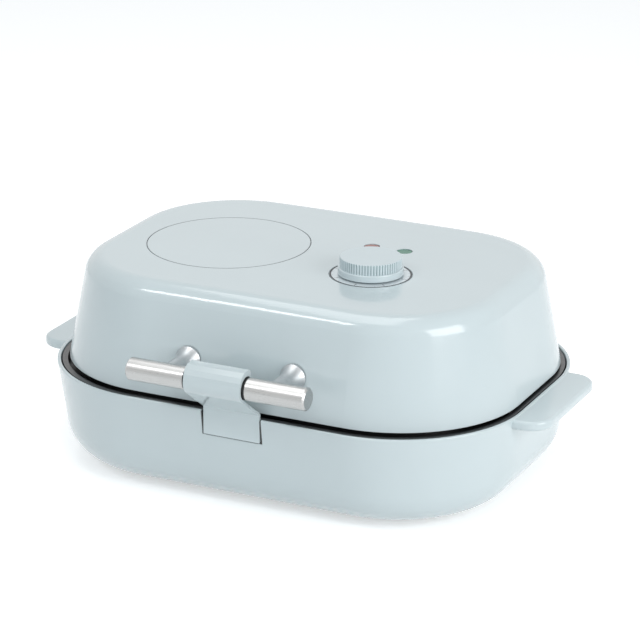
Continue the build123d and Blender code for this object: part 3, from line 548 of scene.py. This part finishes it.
def lay_on(node, piece):
    """Lays a flat print, drawn about the origin, on a round node's domed face: half above it."""
    print_height, well_above = 0.00003, 0.05
    centre, _ = round_place(node)
    for vert in piece.data.vertices:
        above = Vector((vert.co.x + centre.x, vert.co.y + centre.y, centre.z + well_above))
        _, face, _, _ = nodes[node].ray_cast(above, Vector((0, 0, -1)))
        vert.co = face + Vector((0, 0, print_height if vert.co.z > 0 else -print_height))
    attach(piece, "lid")


def printed_ring(node, width):
    """A dark line of a width round the edge of a node's face, in the ink material."""
    edge = 0.00005
    _, radius = round_place(node)
    outer = radius - edge
    inner = outer - width
    profile = [(inner, -flat_half), (outer, -flat_half), (outer, flat_half), (inner, flat_half)]
    lay_on(node, as_object(turned([*profile, profile[0]], 128), node + "_border", ink))


# Painted shade: the dark line round the badge's edge stands in for the shade in the seam round it.
printed_ring("badge_disc", 0.0004)

# The scale ring round the dial, a white-enamelled disc let into the roof. Its border, its ticks
# and plain numbers are printed in dark ink, 0.03 mm thick, from 0 at the rear clockwise to 6.
enamel, tree, where = blank("white_scale_enamel")
finish_with(
    tree,
    where,
    tint=(10, "#D5DEE2", "#DBE3E6"),
    polish=(3, 0.18, 0.26),
    relief=(1.8, 0.003),
    inputs={"Coat Weight": 0.3},
)
dress(["scale_disc"], enamel)
scale_centre, scale_radius = round_place("scale_disc")
on_arc, given = node_tree(
    "ticks_on_an_arc",
    ("Radius", "NodeSocketFloat"),
    ("Start", "NodeSocketFloat"),
    ("Sweep", "NodeSocketFloat"),
    ("Count", "NodeSocketInt"),
    ("Size", "NodeSocketVector"),
    ("Ink", "NodeSocketMaterial"),
)
arc = add(
    on_arc,
    "GeometryNodeCurveArc",
    {
        "Radius": given["Radius"],
        "Start Angle": given["Start"],
        "Sweep Angle": given["Sweep"],
        "Resolution": given["Count"],
    },
)
arc_points = {"Curve": arc.outputs["Curve"], "Count": given["Count"]}
spots = add(on_arc, "GeometryNodeCurveToPoints", arc_points, mode="COUNT").outputs["Points"]
bar = add(on_arc, "GeometryNodeMeshCube", {"Size": given["Size"]}).outputs["Mesh"]
outward = {"Vector": add(on_arc, "GeometryNodeInputPosition").outputs["Position"]}
radial = add(on_arc, "FunctionNodeAlignRotationToVector", outward, axis="X", pivot_axis="Z")
put_in = {"Points": spots, "Instance": bar, "Rotation": radial.outputs["Rotation"]}
row = add(on_arc, "GeometryNodeInstanceOnPoints", put_in).outputs["Instances"]
finish_tree(on_arc, row, given["Ink"])

printed_ring("scale_disc", 0.0011)
first_angle, sweep, steps = math.radians(90), math.radians(270), 6
ticks_inset, numbers_inset, number_height = 0.0015, 0.0041, 0.0028
for label, per_step, length, width in (("minor", 3, 0.0007, 0.0002), ("major", 1, 0.0012, 0.0003)):
    values = {
        "Radius": scale_radius - ticks_inset - length / 2,
        "Start": first_angle - sweep,
        "Sweep": sweep,
        "Count": steps * per_step + 1,
        "Size": (length, width, 2 * flat_half),
        "Ink": ink,
    }
    lay_on("scale_disc", grown("ticks_" + label, on_arc, values))

for number in range(steps + 1):
    words = bpy.data.curves.new("number", "FONT")
    words.body = str(number)
    words.size = number_height
    words.align_x = "CENTER"
    words.align_y = "CENTER"
    words.extrude = flat_half
    text = placed("number", words)
    graph = bpy.context.evaluated_depsgraph_get()
    data = bpy.data.meshes.new_from_object(text.evaluated_get(graph))
    bpy.data.objects.remove(text)
    angle = first_angle - number * sweep / steps
    radius = scale_radius - numbers_inset
    spot = Matrix.Translation((radius * math.cos(angle), radius * math.sin(angle), 0))
    data.transform(spot @ Matrix.Rotation(angle - math.pi / 2, 4, "Z"))
    data.materials.clear()
    data.materials.append(ink)
    lay_on("scale_disc", placed("scale_number_" + str(number), data))

# The thermostat under the roof, a block of brown phenolic in a bridge pressed from sheet, and the
# steel spindle that comes up from it through the scale.
dress(["thermostat"], phenolic)
dress(["thermostat_bracket", "dial_spindle"], sheet)

# The dial: a knob moulded in pale blue ABS, polished on top and on its skirt, with grooves 0.5 mm
# deep whose shade is painted into its colour, pushed on the spindle. A printed line at the rear
# points to 0.
knob_low, knob_high = corners("dial_knob")
grip_radius, skirt_height, top_edge = 0.0197, 0.0042, 0.0002
groove_floor, groove_mouth = grip_radius - 0.0005, grip_radius - 0.0001
abs_blue, tree, where = blank("polished_pale_blue_abs")
shader = finish_with(
    tree,
    where,
    tint=(20, "#C8D4D8", "#CDD9DC"),
    polish=(4, 0.14, 0.20),
    relief=(1.5, 0.002),
    inputs={"IOR": 1.52},
)
from_axis = add(
    tree,
    "ShaderNodeVectorMath",
    {0: where, 1: (scale_centre.x, scale_centre.y, 0)},
    operation="SUBTRACT",
).outputs["Vector"]
height = add(tree, "ShaderNodeSeparateXYZ", {0: from_axis}).outputs["Z"]
level = add(
    tree,
    "ShaderNodeVectorMath",
    {0: from_axis, 1: (1, 1, 0)},
    operation="MULTIPLY",
).outputs["Vector"]
reach = add(tree, "ShaderNodeVectorMath", {0: level}, operation="LENGTH").outputs["Value"]
# Painted shade: the grip's grooves, between the skirt and the top edge, are darkened in the colour
# towards #7F979B.
painted_groove_shade = add(
    tree,
    "ShaderNodeMapRange",
    {
        "Value": reach,
        "From Min": groove_floor,
        "From Max": groove_mouth,
        "To Min": 1.0,
        "To Max": 0.0,
    },
).outputs["Result"]
grip_low, grip_high = knob_low.z + skirt_height, knob_high.z - top_edge
for limit, side in ((grip_low, "GREATER_THAN"), (grip_high, "LESS_THAN")):
    inside = add(tree, "ShaderNodeMath", {0: height, 1: limit}, operation=side).outputs[0]
    painted_groove_shade = add(tree, "ShaderNodeMath", {0: painted_groove_shade, 1: inside}, operation="MULTIPLY").outputs[0]
groove_shade_mix = add(
    tree,
    "ShaderNodeMix",
    {"Factor": painted_groove_shade, 6: shader.inputs["Base Color"].links[0].from_socket, 7: linear("#7F979B")},
    data_type="RGBA",
)
tree.links.new(groove_shade_mix.outputs[2], shader.inputs["Base Color"])
dress(["dial_knob"], abs_blue)
pointer_width, pointer_thickness, pointer_length = 0.0005, 0.00006, 0.0052
pointer_middle = knob_high.z - 0.0037
pointer_spot = Matrix.Translation((scale_centre.x, scale_centre.y + grip_radius, pointer_middle))
pointer_size = Matrix.Diagonal((pointer_width, pointer_thickness, pointer_length, 1))
line = bmesh.new()
bmesh.ops.create_cube(line, size=1, matrix=pointer_spot @ pointer_size)
pointer = as_object(line, "dial_pointer", ink)
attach(pointer, "dial")

# The bar of the handle, turned from aluminium and brushed along its length: fine strokes that
# spread its highlight. The black nylon sleeve under the clip is its bearing.
brushed, tree, where = blank("brushed_aluminium")
drawn_out = add(tree, "ShaderNodeMapping", {"Vector": where, "Scale": (1 / 40, 1, 1)})
strokes = add(
    tree,
    "ShaderNodeTexNoise",
    {"Vector": drawn_out.outputs["Vector"], "Scale": 1000 / 0.5, "Detail": 3.0},
).outputs["Fac"]
finish_with(
    tree,
    where,
    tint=(strokes, "#ACADAD", "#C2C2C1"),
    polish=(strokes, 0.25, 0.35),
    relief=(strokes, 0.004),
    inputs={"Metallic": 1.0},
)
dress(["bar_handle"], brushed)
# Turned nylon is deep black with a soft sheen.
nylon, tree, where = blank("black_nylon")
finish_with(
    tree,
    where,
    tint=(2, "#101112", "#17181A"),
    polish=(1, 0.4, 0.5),
)
dress(["latch_sleeve"], nylon)

# Two posts that carry the bar, cast in aluminium and tumbled to a satin face. Each is drawn to
# the lid by a screw from inside.
cast, tree, where = blank("satin_cast_aluminium")
finish_with(
    tree,
    where,
    tint=(3, "#B6B9BB", "#C8CBCD"),
    polish=(1, 0.36, 0.46),
    relief=(0.8, 0.01),
    inputs={"Metallic": 1.0},
)
dress(["handle_post_left", "handle_post_right"], cast)
set_of_screws("handle_screws", Vector((0, -1, 0)), "lid")

# The latch clip, moulded in one piece in the lid's colour and gloss. It snaps round the sleeve
# and its tab hangs into the notch in the tub's rim.
dress(["latch_clip"], lacquer)

# The studio: a white floor that keeps a soft shadow, a room with pale walls in front and behind,
# soft lamps overhead and on the right, and a small one for the streak on the lid's shoulder.
def seen_white(tree):
    """Whether a ray comes from the camera, a mirror or glass, to which the studio is white."""
    path = add(tree, "ShaderNodeLightPath").outputs
    seen = path["Is Camera Ray"]
    for kind in ("Is Glossy Ray", "Is Transmission Ray"):
        seen = add(tree, "ShaderNodeMath", {0: seen, 1: path[kind]}, operation="MAXIMUM").outputs[0]
    return seen


floor_half = 6
floor_mesh = bpy.data.meshes.new("studio_floor")
sides = ((-1, -1), (1, -1), (1, 1), (-1, 1))
floor_mesh.from_pydata([(floor_half * x, floor_half * y, 0) for x, y in sides], [], [(0, 1, 2, 3)])
floor = placed("studio_floor", floor_mesh)
paper, tree, where = blank("white_paper_sweep")
matte = add(tree, "ShaderNodeBsdfDiffuse", {"Color": linear("#F4F4F4")}).outputs[0]
glow = add(tree, "ShaderNodeEmission", {"Color": linear("#FFFFFF"), "Strength": 0.45}).outputs[0]
both = add(tree, "ShaderNodeAddShader", {0: matte, 1: glow}).outputs[0]
bright = add(tree, "ShaderNodeMixShader", {0: seen_white(tree), 1: matte, 2: both}).outputs[0]
add(tree, "ShaderNodeOutputMaterial", {"Surface": bright})
floor_mesh.materials.append(paper)

world = bpy.data.worlds.new("pale_room")
bpy.context.scene.world = world
world.use_nodes = True
tree = world.node_tree
tree.nodes.clear()
wall_brightness = 1.15
ray = add(tree, "ShaderNodeTexCoord").outputs["Generated"]
ray_y = add(tree, "ShaderNodeSeparateXYZ", {0: ray}).outputs["Y"]
wall = add(tree, "ShaderNodeMath", {0: ray_y}, operation="ABSOLUTE").outputs[0]
strength = add(
    tree,
    "ShaderNodeMath",
    {0: wall, 1: wall_brightness},
    operation="MULTIPLY",
).outputs[0]
dim = add(tree, "ShaderNodeBackground", {"Color": linear("#E4EBEF"), "Strength": strength})
white = add(tree, "ShaderNodeBackground", {"Color": linear("#FFFFFF"), "Strength": 1.0})
around = add(
    tree,
    "ShaderNodeMixShader",
    {0: seen_white(tree), 1: dim.outputs[0], 2: white.outputs[0]},
)
add(tree, "ShaderNodeOutputWorld", {"Surface": around.outputs[0]})


def soft_lamp(name, place, width, height, power):
    """A rectangular studio lamp that faces the middle of the roaster, 80 mm above the floor."""
    light = bpy.data.lights.new(name, "AREA")
    light.shape = "RECTANGLE"
    light.size = width
    light.size_y = height
    light.energy = power
    facing = (Vector((0, 0, 0.08)) - Vector(place)).to_track_quat("-Z", "Y")
    lamp = placed(name, light)
    lamp.matrix_world = Matrix.Translation(place) @ facing.to_matrix().to_4x4()


soft_lamp("lamp_overhead", (-0.25, -0.05, 1.5), 1.3, 0.8, 7.2)
soft_lamp("lamp_right", (1.5, -0.45, 0.65), 1.0, 1.0, 14.4)
soft_lamp("lamp_streak", (-0.65, -0.96, 1.17), 0.35, 0.22, 2.4)

# The camera's bearing, height angle and roll, and its distance from a point inside the roaster at
# half its height, come from the outlines of tub, lid and ears in the photograph.
bearing, height_angle, roll = (math.radians(degrees) for degrees in (25.658, 20.139, 0.181))
distance = 1.87923
aim = Vector((0, 0.006575, 0.075))
back = Vector((
    math.sin(bearing) * math.cos(height_angle),
    -math.cos(bearing) * math.cos(height_angle),
    math.sin(height_angle),
))
level_right = Vector((math.cos(bearing), math.sin(bearing), 0))
level_up = back.cross(level_right)
right = math.cos(roll) * level_right + math.sin(roll) * level_up
up = math.cos(roll) * level_up - math.sin(roll) * level_right
lens = bpy.data.cameras.new("camera")
lens.lens = 162.85
lens.sensor_width = 36
lens.shift_x = 0.01003
lens.shift_y = 0.03892
turn = Matrix((right, up, back)).transposed().to_4x4()
camera = placed("camera", lens)
camera.matrix_world = Matrix.Translation(aim + back * distance) @ turn
bpy.context.scene.camera = camera
bpy.context.scene.view_settings.view_transform = "Standard"
